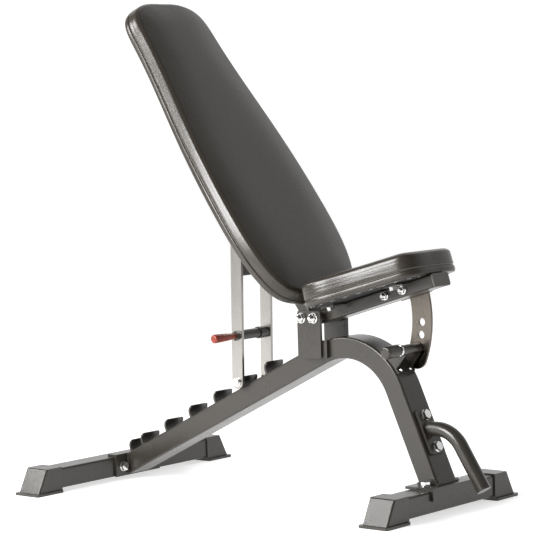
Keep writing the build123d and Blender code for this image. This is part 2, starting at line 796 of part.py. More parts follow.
# outlines, as (share of length, share of half width), from the hinge end to the far end
back_shape = [
    (0.0, 0.0),
    (0.003, 0.435),
    (0.028, 0.72),
    (0.095, 0.90),
    (0.27, 1.0),
    (0.56, 0.915),
    (0.86, 0.744),
    (0.965, 0.628),
    (0.998, 0.319),
    (1.0, 0.0),
]
seat_shape = [
    (0.0, 0.0),
    (0.0, 0.4),
    (0.006, 0.72),
    (0.04, 0.93),
    (0.14, 1.0),
    (0.4, 0.88),
    (0.68, 0.735),
    (0.86, 0.665),
    (0.96, 0.58),
    (0.997, 0.37),
    (1.0, 0.0),
]
back_pad = ("backrest", back_plane, back_pad_start, back_pad_length, back_pad_width)
seat_pad = ("seat", seat_plane, seat_pad_start, seat_pad_length, seat_pad_width)
for (name, plane, start, length, width), pad_thickness, shape, tabs_at in (
    (back_pad, back_pad_thickness, back_shape, back_tabs_at),
    (seat_pad, seat_pad_thickness, seat_shape, seat_tabs_at),
):
    with BuildPart() as board:
        with BuildSketch(plane.offset(carrier_depth / 2)):
            with BuildLine():
                Spline(*pad_points(start, length, width / 2, shape, board_inset), periodic=True)
            make_face()
        extrude(amount=board_thickness)
    finish(board, f"{name}_pad_board")

    with BuildPart() as pad:
        with BuildSketch(plane.offset(carrier_depth / 2 + board_thickness)):
            with BuildLine():
                Spline(*pad_points(start, length, width / 2, shape), periodic=True)
            make_face()
        extrude(amount=pad_thickness - board_thickness)
        fillet(pad.faces().sort_by(Axis(plane.origin, plane.z_dir))[-1].edges(), 8.0)
    finish(pad, f"{name}_pad")

    with BuildPart() as tabs:
        for along in tabs_at:
            for hand in (-1, 1):
                with BuildSketch(plane.offset(carrier_depth / 2 - tab_plate)):
                    with Locations((along, hand * (carrier_width / 2 + tab_reach) / 2)):
                        Rectangle(tab_length, tab_reach - carrier_width / 2)
                    with Locations((along, hand * tab_bolt_offset)):
                        Circle(4.0 + bolt_gap, mode=Mode.SUBTRACT)
                extrude(amount=tab_plate)
    finish(tabs, f"{name}_pad_tabs")

    with BuildPart() as pad_bolts:
        for along in tabs_at:
            for hand in (-1, 1):
                with BuildSketch(plane.offset(carrier_depth / 2 - tab_plate)):
                    with Locations((along, hand * tab_bolt_offset)):
                        Circle(4.0)
                extrude(amount=tab_plate)
                with BuildSketch(plane.offset(carrier_depth / 2 - tab_plate)):
                    with Locations((along, hand * tab_bolt_offset)):
                        Circle(8.2)
                extrude(amount=-1.6)
                with BuildSketch(plane.offset(carrier_depth / 2 - tab_plate - 1.6)):
                    with Locations((along, hand * tab_bolt_offset)):
                        RegularPolygon(7.4, 6)
                extrude(amount=-5.2)
    finish(pad_bolts, f"{name}_pad_bolts")

# ---------------------------------------------------------------- prop

for label, near in (("right", prop_inner), ("left", -prop_outer)):
    with BuildPart() as bar:
        with BuildSketch(prop_side.offset(near)):
            with Locations((prop_length / 2, 0)):
                SlotCenterToCenter(prop_length, prop_bar_width)
            with Locations((0, 0), (prop_length, 0)):
                Circle(pivot_bolt / 2 + running_gap, mode=Mode.SUBTRACT)
        extrude(amount=prop_bar)
    finish(bar, f"prop_bar_{label}")

with BuildPart() as prop_bolt:
    add(bolt_across(prop_side, prop_length, 0, pivot_bolt, prop_outer + 0.3, -prop_outer - 0.3))
finish(prop_bolt, "prop_pivot_bolt")

# two stub pins stand for the cross pin, because the linkage is opened at the ladder
stub_end = catch_width / 2 + 5.5
with BuildPart() as catch_pins:
    for hand in (-1, 1):
        pin_plane = prop_side if hand > 0 else prop_side.offset(0).rotated((180, 0, 0))
        for outer, near, far in (
            (prop_pin, stub_end, prop_inner),
            (pivot_bolt, prop_inner, prop_outer),
            (17.0, prop_outer, prop_outer + 1.6),
            (14.0, prop_outer + 1.6, prop_outer + 6.0),
        ):
            with BuildSketch(pin_plane.offset(near)):
                Circle(outer / 2)
            extrude(amount=far - near)
finish(catch_pins, "prop_catch_pins")

with BuildPart() as grip_cross:
    add(ring_across(prop_side, grip_bar_up, 0, grip_bar, grip_bar - 5, -prop_inner, prop_inner))
    add(
        ring_across(
            prop_side, grip_bar_up, 0, grip_bar + 4, grip_bar - 5, -prop_inner, -prop_inner + 24
        )
    )
finish(grip_cross, "prop_grip_bar")

with BuildPart() as upper_plate:
    with BuildSketch(prop_side.offset(-prop_inner)):
        with Locations((upper_plate_up, 0)):
            RectangleRounded(upper_plate_height, 6.0, 1.5)
    extrude(amount=2 * prop_inner)
finish(upper_plate, "prop_cross_plate")

nut_height = 6.0
with BuildPart() as grip_nut:
    with BuildSketch(prop_side.offset(prop_outer)):
        with Locations((grip_bar_up, 0)):
            RegularPolygon(grip_bar / 2, 6)
    extrude(amount=nut_height)
finish(grip_nut, "prop_grip_nut")

grip_start = prop_outer + nut_height
with BuildPart() as grip:
    grip_axis = Plane(
        origin=prop_side.from_local_coords((grip_bar_up, 0, grip_start)),
        x_dir=prop_side.x_dir,
        z_dir=prop_side.z_dir,
    )
    with BuildSketch(grip_axis):
        Circle(grip_neck / 2)
    with BuildSketch(grip_axis.offset(grip_length * 0.45)):
        Circle(grip_diameter / 2 - 1)
    with BuildSketch(grip_axis.offset(grip_length)):
        Circle(grip_diameter / 2)
    loft()
    fillet(grip.faces().sort_by(Axis.Y)[0].edges(), 4.0)
finish(grip, "prop_grip")

# ---------------------------------------------------------------- seat

with BuildPart() as seat_tube:
    with BuildSketch(Plane(origin=seat_plane.origin, x_dir=(0, 1, 0), z_dir=seat_plane.x_dir)):
        tube_section(carrier_width, carrier_depth, carrier_wall)
    extrude(amount=seat_tube_length)
    with BuildSketch(seat_side):
        Circle(sleeve_diameter / 2)
        for along in adjuster_bolts:
            with Locations((along, 0)):
                Circle(4.0 + bolt_gap)
    extrude(amount=carrier_width, both=True, mode=Mode.SUBTRACT)
finish(seat_tube, "seat_tube")

with BuildPart() as seat_sleeve:
    add(
        ring_across(
            seat_side, 0, 0, sleeve_diameter, pivot_bolt + 2 * running_gap, -sleeve_half, sleeve_half
        )
    )
finish(seat_sleeve, "seat_pivot_sleeve")

with BuildPart() as seat_cap:
    with BuildSketch(
        Plane(origin=seat_plane.origin, x_dir=(0, 1, 0), z_dir=seat_plane.x_dir).offset(
            seat_tube_length
        )
    ):
        RectangleRounded(carrier_width, carrier_depth, tube_corner)
    extrude(amount=5.0)
    fillet(seat_cap.faces().sort_by(Axis.X)[-1].edges(), 1.5)
    with BuildSketch(
        Plane(origin=seat_plane.origin, x_dir=(0, 1, 0), z_dir=seat_plane.x_dir).offset(
            seat_tube_length
        )
    ):
        RectangleRounded(
            carrier_width - 2 * (carrier_wall + slip_gap),
            carrier_depth - 2 * (carrier_wall + slip_gap),
            tube_corner - carrier_wall,
        )
    extrude(amount=-plug_depth)
finish(seat_cap, "seat_tube_cap")

# curved plate about the seat pivot, hung on the far side of the seat tube
plate_middle = (adjuster_inner + adjuster_outer) / 2
plate_band = adjuster_outer - adjuster_inner
hole_angles = [pin_hole_angle + adjuster_hole_pitch * step for step in range(3)]
arc_low = pin_hole_angle - adjuster_tail
arc_high = seat_angle - 1.0


def about_seat(radius, angle):
    """Point in the side plane at a radius and a world angle about the seat pivot."""
    return (
        seat_pivot[0] + radius * cos(radians(angle)),
        seat_pivot[1] + radius * sin(radians(angle)),
    )


with BuildPart() as adjuster:
    with BuildSketch(side.offset(-adjuster_side - adjuster_plate)):
        with BuildLine():
            ThreePointArc(
                about_seat(adjuster_inner, arc_high),
                about_seat(adjuster_inner, (arc_high + arc_low) / 2),
                about_seat(adjuster_inner, arc_low),
            )
            ThreePointArc(
                about_seat(adjuster_inner, arc_low),
                about_seat(plate_middle, arc_low - degrees(plate_band / 2 / plate_middle)),
                about_seat(adjuster_outer, arc_low),
            )
            ThreePointArc(
                about_seat(adjuster_outer, arc_low),
                about_seat(adjuster_outer, (arc_high + arc_low) / 2),
                about_seat(adjuster_outer, arc_high),
            )
            Line(about_seat(adjuster_outer, arc_high), about_seat(adjuster_inner, arc_high))
        make_face()
        for angle in hole_angles:
            with Locations(about_seat(adjuster_hole_radius, angle)):
                Circle(adjuster_hole / 2, mode=Mode.SUBTRACT)
    extrude(amount=adjuster_plate)
    with BuildSketch(seat_side.offset(-adjuster_side - adjuster_plate)):
        with Locations(((adjuster_bolts[0] + adjuster_bolts[1]) / 2 + 4, -2.5)):
            RectangleRounded(adjuster_bolts[1] - adjuster_bolts[0] + 34, 20.0, 5.0)
    extrude(amount=adjuster_plate)
    with BuildSketch(seat_side.offset(-adjuster_side - adjuster_plate)):
        for along in adjuster_bolts:
            with Locations((along, 0)):
                Circle(4.0 + bolt_gap)
    extrude(amount=adjuster_plate, mode=Mode.SUBTRACT)
finish(adjuster, "seat_adjuster_plate")

with BuildPart() as spacers:
    for along in adjuster_bolts:
        add(
            ring_across(
                seat_side, along, 0, 15.0, 8.0 + 2 * bolt_gap, -adjuster_side, -carrier_width / 2
            )
        )
finish(spacers, "adjuster_spacers")

with BuildPart() as adjuster_fixings:
    for along in adjuster_bolts:
        add(
            bolt_across(
                seat_side, along, 0, 8.0, carrier_width / 2, -adjuster_side - adjuster_plate
            )
        )
finish(adjuster_fixings, "adjuster_bolts")
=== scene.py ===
# %% [markdown]
# # An adjustable weight bench
# The bench is a welded steel frame with two upholstered pads. The engineering model already gives
# every tube, plate and bolt at its true size, so this lesson leaves those shapes alone and works on
# what an engineering model lacks: stuffed covers, stitching, welds, and finishes that catch light
# as paint, plating, vinyl and moulded plastic do.

# %% Load the frame
import json
import math

import bmesh
import bpy
import numpy as np
from mathutils import Matrix, Vector
from mathutils.kdtree import KDTree


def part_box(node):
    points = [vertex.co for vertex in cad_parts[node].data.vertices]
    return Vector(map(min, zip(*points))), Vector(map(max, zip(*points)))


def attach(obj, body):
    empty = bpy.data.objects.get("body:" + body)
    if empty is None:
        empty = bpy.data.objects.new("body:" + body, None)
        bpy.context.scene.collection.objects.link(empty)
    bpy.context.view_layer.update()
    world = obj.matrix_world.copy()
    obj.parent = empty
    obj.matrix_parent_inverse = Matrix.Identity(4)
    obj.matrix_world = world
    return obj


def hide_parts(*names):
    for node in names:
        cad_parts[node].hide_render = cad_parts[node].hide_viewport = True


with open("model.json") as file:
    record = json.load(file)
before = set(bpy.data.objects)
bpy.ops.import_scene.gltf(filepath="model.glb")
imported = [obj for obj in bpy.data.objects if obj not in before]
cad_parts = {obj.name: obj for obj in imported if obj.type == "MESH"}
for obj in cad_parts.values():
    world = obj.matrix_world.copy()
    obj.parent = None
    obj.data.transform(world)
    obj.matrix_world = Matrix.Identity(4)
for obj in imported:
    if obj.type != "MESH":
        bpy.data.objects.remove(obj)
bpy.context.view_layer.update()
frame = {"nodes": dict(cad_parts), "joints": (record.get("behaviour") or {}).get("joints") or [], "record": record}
MM = 0.001

# %% [markdown]
# ## Finishes
# Each finish is a small network of procedural textures that reads Object coordinates, which are
# metres here, so a grain of half a millimetre is a noise of scale two thousand. Fine noise drives
# a bump, broad noise drives colour and roughness, because no real surface is even all over.

# %% A helper that wires one finish
def finish(name, colour, spread, rough, grain, depth, metallic=0.0, stretch=(1, 1, 1), **uniform):
    """Base colour and roughness wander with broad noise, and fine noise raises a grain."""
    material = bpy.data.materials.new(name)
    material.use_nodes = True
    nodes = material.node_tree.nodes
    links = material.node_tree.links
    shader = nodes["Principled BSDF"]
    shader.inputs["Metallic"].default_value = metallic
    for socket, value in uniform.items():
        shader.inputs[socket.replace("_", " ")].default_value = value

    place = nodes.new("ShaderNodeTexCoord")
    mapping = nodes.new("ShaderNodeMapping")
    mapping.inputs["Scale"].default_value = stretch
    links.new(place.outputs["Object"], mapping.inputs["Vector"])

    broad = nodes.new("ShaderNodeTexNoise")
    broad.inputs["Scale"].default_value = 14.0
    broad.inputs["Detail"].default_value = 5.0
    links.new(mapping.outputs["Vector"], broad.inputs["Vector"])

    tint = nodes.new("ShaderNodeValToRGB")
    tint.color_ramp.elements[0].position = 0.3
    tint.color_ramp.elements[1].position = 0.7
    tint.color_ramp.elements[0].color = [c * (1 - spread) for c in colour] + [1]
    tint.color_ramp.elements[1].color = [min(1.0, c * (1 + spread)) for c in colour] + [1]
    links.new(broad.outputs["Fac"], tint.inputs["Fac"])
    links.new(tint.outputs["Color"], shader.inputs["Base Color"])

    gloss = nodes.new("ShaderNodeMapRange")
    gloss.inputs["From Min"].default_value = 0.3
    gloss.inputs["From Max"].default_value = 0.7
    gloss.inputs["To Min"].default_value = rough[0]
    gloss.inputs["To Max"].default_value = rough[1]
    links.new(broad.outputs["Fac"], gloss.inputs["Value"])
    links.new(gloss.outputs["Result"], shader.inputs["Roughness"])

    fine = nodes.new("ShaderNodeTexNoise")
    fine.inputs["Scale"].default_value = grain
    fine.inputs["Detail"].default_value = 3.0
    links.new(mapping.outputs["Vector"], fine.inputs["Vector"])
    bump = nodes.new("ShaderNodeBump")
    bump.inputs["Strength"].default_value = 0.5
    bump.inputs["Distance"].default_value = depth
    links.new(fine.outputs["Fac"], bump.inputs["Height"])
    links.new(bump.outputs["Normal"], shader.inputs["Normal"])
    return material


# %% [markdown]
# The frame wears a charcoal powder coat, which bakes into a faint orange peel. Prop bars are
# bright zinc, the curved plate a darker nickel, and nuts and bolts are polished. The brushed look
# of a plated bar comes from stretching the noise along its length.

# %% The metal and plastic finishes
SLOTS = {
    "frame_paint": finish(
        "charcoal powder coat", (0.027, 0.0235, 0.019), 0.10, (0.25, 0.33), 1500, 0.00010,
        Coat_Weight=0.10, Coat_Roughness=0.20,
    ),
    "black_plastic": finish(
        "grained black plastic", (0.036, 0.032, 0.027), 0.08, (0.25, 0.32), 2300, 0.00010
    ),
    "grey_plastic": finish(
        "satin grey plastic", (0.085, 0.078, 0.070), 0.06, (0.38, 0.48), 2300, 0.00010
    ),
    "plated_steel": finish(
        "bright zinc", (0.36, 0.345, 0.325), 0.06, (0.24, 0.30), 900, 0.00004, metallic=1.0,
        stretch=(1, 1, 0.06),
    ),
    "dark_plated_steel": finish(
        "dark nickel", (0.15, 0.133, 0.115), 0.10, (0.24, 0.36), 900, 0.00004, metallic=1.0,
        stretch=(1, 1, 0.10),
    ),
    "chrome": finish(
        "polished chrome", (0.80, 0.80, 0.79), 0.03, (0.06, 0.14), 700, 0.00002, metallic=1.0
    ),
    "red_plastic": finish(
        "red dipped grip", (0.24, 0.030, 0.012), 0.10, (0.30, 0.42), 1700, 0.00012
    ),
    "plywood": finish(
        "plywood", (0.42, 0.31, 0.20), 0.18, (0.60, 0.75), 500, 0.0002, stretch=(0.1, 1, 1)
    ),
}
thread = finish("seam thread", (0.11, 0.10, 0.085), 0.15, (0.45, 0.6), 5000, 0.00008)
cover_cloth = finish("dust cover", (0.018, 0.018, 0.018), 0.25, (0.85, 0.95), 2600, 0.0004)
print("finishes:", sorted(SLOTS))

# %% [markdown]
# Vinyl is the finish people touch. Its grain is a pebble pattern, so a Voronoi texture joins the
# noise, and the boxed sides get long shallow wrinkles where the cover was pulled round the board.
# The wrinkles follow the pad's own UV map: U runs round the pad and V across its side, in metres.

# %% Vinyl, with wrinkles that follow the side band
vinyl = finish(
    "warm black vinyl", (0.029, 0.024, 0.018), 0.07, (0.25, 0.31), 2600, 0.00007,
    Coat_Weight=0.10, Coat_Roughness=0.24,
)
nodes = vinyl.node_tree.nodes
links = vinyl.node_tree.links
grain_bump = next(n for n in nodes if n.type == "BUMP")
place = next(n for n in nodes if n.type == "TEX_COORD")
pebble = nodes.new("ShaderNodeTexVoronoi")
pebble.inputs["Scale"].default_value = 620.0
links.new(place.outputs["Object"], pebble.inputs["Vector"])
pebble_bump = nodes.new("ShaderNodeBump")
pebble_bump.inputs["Strength"].default_value = 0.10
pebble_bump.inputs["Distance"].default_value = 0.00025
links.new(pebble.outputs["Distance"], pebble_bump.inputs["Height"])
links.new(pebble_bump.outputs["Normal"], grain_bump.inputs["Normal"])
wrap = nodes.new("ShaderNodeUVMap")
wrap.uv_map = "wrap"
wrinkle_place = nodes.new("ShaderNodeMapping")
wrinkle_place.inputs["Scale"].default_value = (6.0, 150.0, 1.0)
links.new(wrap.outputs["UV"], wrinkle_place.inputs["Vector"])
wrinkle = nodes.new("ShaderNodeTexNoise")
wrinkle.inputs["Scale"].default_value = 1.0
wrinkle.inputs["Detail"].default_value = 2.0
links.new(wrinkle_place.outputs["Vector"], wrinkle.inputs["Vector"])
band = nodes.new("ShaderNodeAttribute")
band.attribute_name = "band"
masked = nodes.new("ShaderNodeMath")
masked.operation = "MULTIPLY"
links.new(wrinkle.outputs["Fac"], masked.inputs[0])
links.new(band.outputs["Fac"], masked.inputs[1])
wrinkle_bump = nodes.new("ShaderNodeBump")
wrinkle_bump.inputs["Strength"].default_value = 0.25
wrinkle_bump.inputs["Distance"].default_value = 0.0022
links.new(masked.outputs["Value"], wrinkle_bump.inputs["Height"])
links.new(wrinkle_bump.outputs["Normal"], pebble_bump.inputs["Normal"])
SLOTS["vinyl"] = vinyl

# %% Give every engineering node its finish
for part in frame["record"]["subparts"]:
    node = frame["nodes"][part["node"]]
    node.material_slots[0].material = SLOTS[part["material_slot"]]

# %% [markdown]
# ## The pads
# A pad is a plywood board, a slab of foam and a sewn cover. The cover has a top panel, a boxed
# side and a hem stapled under the board. It could be one subdivided box, but a real cover is tight
# at its seams and swollen between them. So the pad is lofted ring by ring from the board's
# outline, a cloth simulation blows up a copy of it with the seams held, and the swelling is
# carried back on to the clean rings. The top panel is crowned by how far each point is from the
# edge, so the crown is a rolled border with a nearly flat middle, as firm foam gives.

# %% Where each pad lies
joints = {joint["name"]: joint for joint in frame["joints"]}
BACK_ANGLE = math.radians(54.9)
SEAT_ANGLE = math.radians(16.25)


def pad_axes(joint, angle, towards):
    """Turns a pad's own (along, across, height), in millimetres, into a place in metres."""
    origin = Vector(joints[joint]["pos_m"])
    along = Vector((towards * math.cos(angle), 0, math.sin(angle)))
    height = Vector((-towards * math.sin(angle), 0, math.cos(angle)))
    across = height.cross(along)
    return Matrix((along, across, height)).transposed(), origin


def to_world(axes, points):
    """Places in metres for an array of pad places in millimetres."""
    turn, origin = axes
    return np.asarray(points) * MM @ np.array(turn).T + np.array(origin)


def to_pad(axes, points):
    """Pad places in millimetres for an array of places in metres."""
    turn, origin = axes
    return (np.asarray(points) - np.array(origin)) @ np.array(turn) / MM


back_axes = pad_axes("backrest_tilt", BACK_ANGLE, -1)
seat_axes = pad_axes("seat_tilt", SEAT_ANGLE, 1)

# %% [markdown]
# The outline is read from the engineering pad, so the cover always fits the board. Its points are
# walked at even steps, rounded by averaging each with its neighbours and walked again, which makes every ring's
# quads alike.

# %% The outline of a pad, at even steps
def even_loop(points, count):
    """Points at even steps round a closed loop of any points."""
    closed = np.vstack([points, points[:1]])
    walked = np.concatenate([[0], np.cumsum(np.linalg.norm(np.diff(closed, axis=0), axis=1))])
    steps = np.linspace(0, walked[-1], count, endpoint=False)
    return np.column_stack([np.interp(steps, walked, closed[:, k]) for k in range(2)])


def smooth_loop(points, times):
    """Rounds a closed loop by averaging each point with its neighbours."""
    for _ in range(times):
        points = points * 0.5 + (np.roll(points, 1, 0) + np.roll(points, -1, 0)) * 0.25
    return points


def pad_outline(node, axes, count):
    """Outline of the engineering pad's lower face."""
    local = to_pad(axes, [v.co for v in frame["nodes"][node].data.vertices])
    rim = local[np.abs(local[:, 2] - local[:, 2].min()) < 0.2][:, :2]
    middle = (rim.max(0) + rim.min(0)) / 2
    angle = np.arctan2(rim[:, 1] - middle[1], rim[:, 0] - middle[0])
    rim = rim[np.argsort(angle)]
    keep = np.linalg.norm(rim - np.roll(rim, 1, 0), axis=1) > 0.5
    return even_loop(smooth_loop(even_loop(rim[keep], count * 2), 6), count)


back_outline = pad_outline("backrest_pad", back_axes, 260)
seat_outline = pad_outline("seat_pad", seat_axes, 150)
print("backrest", np.ptp(back_outline, axis=0).round(), "seat", np.ptp(seat_outline, axis=0).round())

# %% [markdown]
# The side of a pad is a list of rings. Each ring has an inset from the outline, a height above the
# board's back and the depth of any seam pressed into it. Two seams run round the pad: one joins
# the top panel to the side, and one lies low down, where the foam meets the board. Above that seam
# the side leans in a little, more on the backrest than on the seat.

# %% The ring list of one pad
BOARD_BACK = 12.7             # the tube's upper face, which the board rests on, and a hair
SIDE_SEAM = 14.0              # height of the lower seam above the board's back
TOP_SEAM_DROP = 2.8           # the upper seam lies this far below the top panel
SPINE_SHARE = 0.8             # rings close on a spine that stops this share of a half width short
CROWN_STEPS = 20              # rings across the top panel
CROWN_START = 4.0             # the crown begins this far in from the outline


def side_rings(thickness, lean):
    """(inset, height, seam depth) from the hem under the board to the edge of the top panel."""
    top = thickness
    rings = [(26.0, 0.7, 0), (22.0, 0.0, 0), (12.0, -0.1, 0), (5.0, 0.0, 0), (2.0, 0.8, 0)]
    rings += [(0.7, 2.4, 0), (0.2, 4.6, 0), (0.0, 7.2, 0), (0.0, 9.6, 0)]
    rings += [(0.2, SIDE_SEAM - 2.6, 0), (0.6, SIDE_SEAM - 1.2, 0.4), (0.9, SIDE_SEAM, 2.2)]
    rings += [(0.9, SIDE_SEAM + 1.2, 0.4), (0.7, SIDE_SEAM + 2.8, 0)]
    rings += [(0.7 + 0.3 * lean, SIDE_SEAM + 6.5, 0), (0.7 + lean, top - 8.5, 0)]
    rings += [(1.5 + lean, top - 5.8, 0), (2.5 + lean, top - 4.0, 0.2)]
    rings += [(3.6 + lean, top - TOP_SEAM_DROP, 0.8)]
    rings += [(5.0 + lean, top - 2.0, 0.2), (7.5 + lean, top - 1.4, 0)]
    rings += [(11.0 + lean, top - 1.2, 0), (16.0 + lean, top - 1.2, 0)]
    return rings


def outline_tree(outline):
    """A tree that finds the outline's nearest point."""
    tree = KDTree(len(outline))
    for index, (x, y) in enumerate(outline):
        tree.insert((x, y, 0), index)
    tree.balance()
    return tree


def ring_places(outline, thickness, crown, roll, lean):
    """Rings of a whole pad, bottom centre to top centre, with the seam depth of each ring."""
    inward = np.roll(outline, -1, 0) - np.roll(outline, 1, 0)
    inward = np.column_stack([-inward[:, 1], inward[:, 0]])
    inward /= np.linalg.norm(inward, axis=1)[:, None]
    if np.sum(inward * (outline.mean(0) - outline)) < 0:
        inward = -inward
    low, high = outline[:, 0].min(), outline[:, 0].max()
    width = np.ptp(outline[:, 1]) / 2
    spine = np.column_stack(
        [
            np.clip(outline[:, 0], low + width * SPINE_SHARE, high - width * SPINE_SHARE),
            np.zeros(len(outline)),
        ]
    )
    rings = side_rings(thickness, lean)
    places = []
    depths = []
    for share in (1.0, 0.75, 0.5, 0.25):
        flat = (outline + inward * rings[0][0]) * (1 - share) + spine * share
        places.append(np.column_stack([flat, np.full(len(flat), rings[0][1])]))
        depths.append(0.0)
    for inset, height, depth in rings:
        flat = outline + inward * inset
        places.append(np.column_stack([flat, np.full(len(flat), height)]))
        depths.append(depth)
    for step in range(1, CROWN_STEPS + 1):
        share = (step / CROWN_STEPS) ** 1.3
        flat = (outline + inward * rings[-1][0]) * (1 - share) + spine * share
        places.append(np.column_stack([flat, np.full(len(flat), rings[-1][1])]))
        depths.append(0.0)
    edge = outline_tree(outline)
    for ring in places[-CROWN_STEPS - 3:]:
        for point in ring:
            away = edge.find((point[0], point[1], 0))[2] - CROWN_START
            reach = min(1.0, max(0.0, away) / roll)
            point[2] += crown * (1 - (1 - reach) ** 2)
    places = [ring + np.array([0, 0, BOARD_BACK]) for ring in places]
    return places, depths


# %% Turn rings into a mesh
def mesh_from_rings(name, axes, places):
    """Quads between neighbouring rings, closed along the spine at both ends."""
    count = len(places[0])
    vertices = to_world(axes, np.vstack(places))
    faces = []
    for ring in range(len(places) - 1):
        for k in range(count):
            near = ring * count + k
            side = ring * count + (k + 1) % count
            faces.append((near, side, side + count, near + count))
    mesh = bpy.data.meshes.new(name)
    mesh.from_pydata([tuple(v) for v in vertices], [], faces)
    piece = bpy.data.objects.new(name, mesh)
    bpy.context.scene.collection.objects.link(piece)
    return piece


def close_and_turn(piece, merge=0.00002):
    """Merges doubles along the spine and makes every face point outwards."""
    shell = bmesh.new()
    shell.from_mesh(piece.data)
    bmesh.ops.remove_doubles(shell, verts=shell.verts, dist=merge)
    bmesh.ops.recalc_face_normals(shell, faces=shell.faces)
    shell.to_mesh(piece.data)
    shell.free()
    piece.data.polygons.foreach_set("use_smooth", [True] * len(piece.data.polygons))


# %% [markdown]
# Cloth with a little pressure inside is how a stuffed cover finds its shape. The copy is remeshed
# in even five-millimetre quads, the board and both seams are pinned, gravity is off, and twenty
# frames are enough. The movement is capped, because firm foam gives only a few millimetres.

# %% Blow up a copy and measure how far it moved
CAP = 3.0                     # millimetres, the most that the foam gives
REMESH = 0.005                # metres
FRAMES = 20
PRESSURE = 4.0


def swelling(piece, axes, thickness):
    """Where the remeshed copy began and how far each of its points moved, in metres."""
    copy = piece.copy()
    copy.data = piece.data.copy()
    bpy.context.scene.collection.objects.link(copy)
    copy.data.remesh_voxel_size = REMESH
    bpy.context.view_layer.objects.active = copy
    copy.select_set(True)
    bpy.ops.object.voxel_remesh()
    start = np.array([v.co for v in copy.data.vertices])
    height = to_pad(axes, start)[:, 2] - BOARD_BACK
    held = copy.vertex_groups.new(name="held")
    top_edge = thickness - 2.7
    for index, level in enumerate(height):
        if level < SIDE_SEAM + 2.5:
            held.add([index], 1.0, "REPLACE")
        elif abs(level - top_edge) < 2.6:
            held.add([index], 0.75, "REPLACE")
    cloth = copy.modifiers.new("cloth", "CLOTH")
    cloth.settings.vertex_group_mass = "held"
    cloth.settings.use_pressure = True
    cloth.settings.uniform_pressure_force = PRESSURE
    cloth.settings.effector_weights.gravity = 0.0
    cloth.settings.quality = 6
    cloth.point_cache.frame_start = 1
    cloth.point_cache.frame_end = FRAMES
    for moment in range(1, FRAMES + 1):
        bpy.context.scene.frame_set(moment)
    shaped = copy.evaluated_get(bpy.context.evaluated_depsgraph_get())
    end = np.array([v.co for v in shaped.data.vertices])
    moved = end - start
    length = np.linalg.norm(moved, axis=1)
    limit = CAP * MM
    moved *= (limit * np.tanh(length / limit) / np.maximum(length, 1e-9))[:, None]
    bpy.context.scene.frame_set(1)
    bpy.data.objects.remove(copy)
    return start, moved


def carry(piece, start, moved):
    """Moves each of the piece's points as its nearest simulated points moved."""
    tree = KDTree(len(start))
    for index, place in enumerate(start):
        tree.insert(place, index)
    tree.balance()
    for vertex in piece.data.vertices:
        found = tree.find_n(vertex.co, 6)
        weights = np.array([1 / (distance + 0.0015) for _, _, distance in found])
        shift = np.array([moved[index] for _, index, _ in found])
        vertex.co += Vector((weights[:, None] * shift).sum(0) / weights.sum())


# %% Build one pad
def side_uv(piece, axes, outline):
    """UV in metres: U round the pad, V up its side, and a mask that is one on the side."""
    local = to_pad(axes, [v.co for v in piece.data.vertices])
    tree = outline_tree(outline)
    step = np.linalg.norm(outline[1] - outline[0]) * MM
    round_pad = np.array([tree.find((x, y, 0))[1] * step for x, y, _ in local])
    off = np.array([tree.find((x, y, 0))[2] for x, y, _ in local])
    high = local[:, 2] - BOARD_BACK
    mask = np.clip(1 - (off - 3.0) / 9.0, 0, 1)
    layer = piece.data.uv_layers.new(name="wrap")
    for loop in piece.data.loops:
        k = loop.vertex_index
        layer.data[loop.index].uv = (round_pad[k], high[k] * MM)
    band = piece.data.attributes.new("band", "FLOAT", "POINT")
    band.data.foreach_set("value", mask.astype(np.float32))


def build_pad(name, body, axes, outline, thickness, crown, roll, lean):
    """A stuffed cover for one pad. Returns the piece and its top seam as points in metres."""
    places, depths = ring_places(outline, thickness, crown, roll, lean)
    piece = mesh_from_rings(name, axes, places)
    count = len(outline)
    rings = len(places)
    plain = mesh_from_rings(name + "_plain", axes, places)
    close_and_turn(plain)
    start, moved = swelling(plain, axes, thickness)
    bpy.data.objects.remove(plain)
    carry(piece, start, moved)
    print(name, "moved up to", round(float(np.linalg.norm(moved, axis=1).max() / MM), 1), "mm")
    co = np.array([v.co for v in piece.data.vertices]).reshape(rings, count, 3)
    middle = co.mean((0, 1))
    for ring, depth in enumerate(depths):
        if depth > 0:
            across = co[ring + 1] - co[ring - 1]
            round_it = np.roll(co[ring], -1, 0) - np.roll(co[ring], 1, 0)
            normal = np.cross(round_it, across)
            normal /= np.linalg.norm(normal, axis=1)[:, None]
            if np.sum(normal * (co[ring] - middle)) < 0:
                normal = -normal
            co[ring] -= normal * depth * MM
    for vertex, place in zip(piece.data.vertices, co.reshape(-1, 3)):
        vertex.co = place
    seams = [ring for ring, depth in enumerate(depths) if depth >= 1.4]
    thread_line = co[seams[-1] + 2] * 0.75 + co[seams[-1] + 1] * 0.25
    hem_line = co[5]
    side_uv(piece, axes, outline)
    close_and_turn(piece)
    piece.data.materials.append(vinyl)
    smooth = piece.modifiers.new("smooth", "SUBSURF")
    smooth.levels = 1
    smooth.render_levels = 1
    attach(piece, body)
    return piece, thread_line, hem_line


back_cover, back_thread, back_hem = build_pad(
    "backrest_cover", "backrest", back_axes, back_outline, 38.0, 5.0, 52.0, 2.9
)
seat_cover, seat_thread, seat_hem = build_pad(
    "seat_cover", "seat", seat_axes, seat_outline, 46.0, 5.0, 40.0, 0.3
)
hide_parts("backrest_pad", "backrest_pad_board")
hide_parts("seat_pad", "seat_pad_board")

# %% [markdown]
# ## Things that repeat along a line
# Stitches, staples and the ripples of a weld are all one small shape repeated at an even pitch. One
# Geometry Nodes tree does all three: it turns a line into a curve, steps along it, and sets the
# shape down in line with the curve. The result becomes a plain mesh before anything else uses it.

